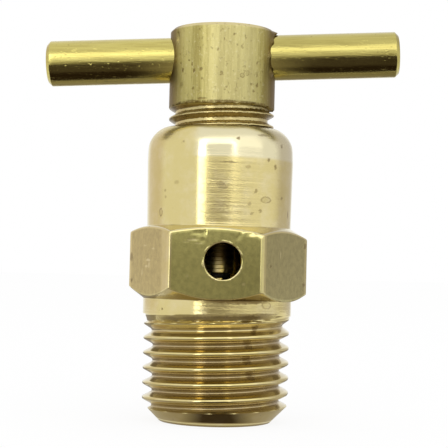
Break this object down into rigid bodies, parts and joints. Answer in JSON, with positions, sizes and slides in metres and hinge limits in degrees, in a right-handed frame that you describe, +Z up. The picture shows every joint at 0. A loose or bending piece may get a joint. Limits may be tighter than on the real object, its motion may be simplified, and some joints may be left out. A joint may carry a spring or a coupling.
{
  "type": "drain cock",
  "caption": "Brass drain cock: hexagon body with a threaded pipe end and a side drain hole, closed by a screw stem that a straight cross bar turns.",
  "frame": {"origin": "centre of the pipe end face, on which the part stands", "axes": "+Z up along the stem axis, -Y out of the drain hole, X along the cross bar"},
  "size_m": [0.032, 0.014, 0.0356],
  "materials": {
    "body_brass": "turned, lightly tarnished",
    "stem_brass": "turned, lightly tarnished",
    "bar_brass": "drawn and bright",
    "seat_rubber": "matt black moulding"
  },
  "bodies": {
    "valve_body": {"valve_body": "body_brass"},
    "seat_disc": {"seat_disc": "seat_rubber"},
    "stem": {"valve_stem": "stem_brass", "tee_bar": "bar_brass"}
  },
  "joints": [
    {"name": "stem_lift", "type": "slide", "parent": "valve_body", "child": "seat_disc", "axis": [0, 0, 1], "range_m": [0, 0.00317]},
    {"name": "handle_turn", "type": "hinge", "parent": "seat_disc", "child": "stem", "pos_m": [0, 0, 0.0328], "axis": [0, 0, 1], "range_deg": [0, 1080]}
  ],
  "couplings": [
    {"joint": "stem_lift", "follows": "handle_turn", "m_per_rad": 0.00016839}
  ]
}
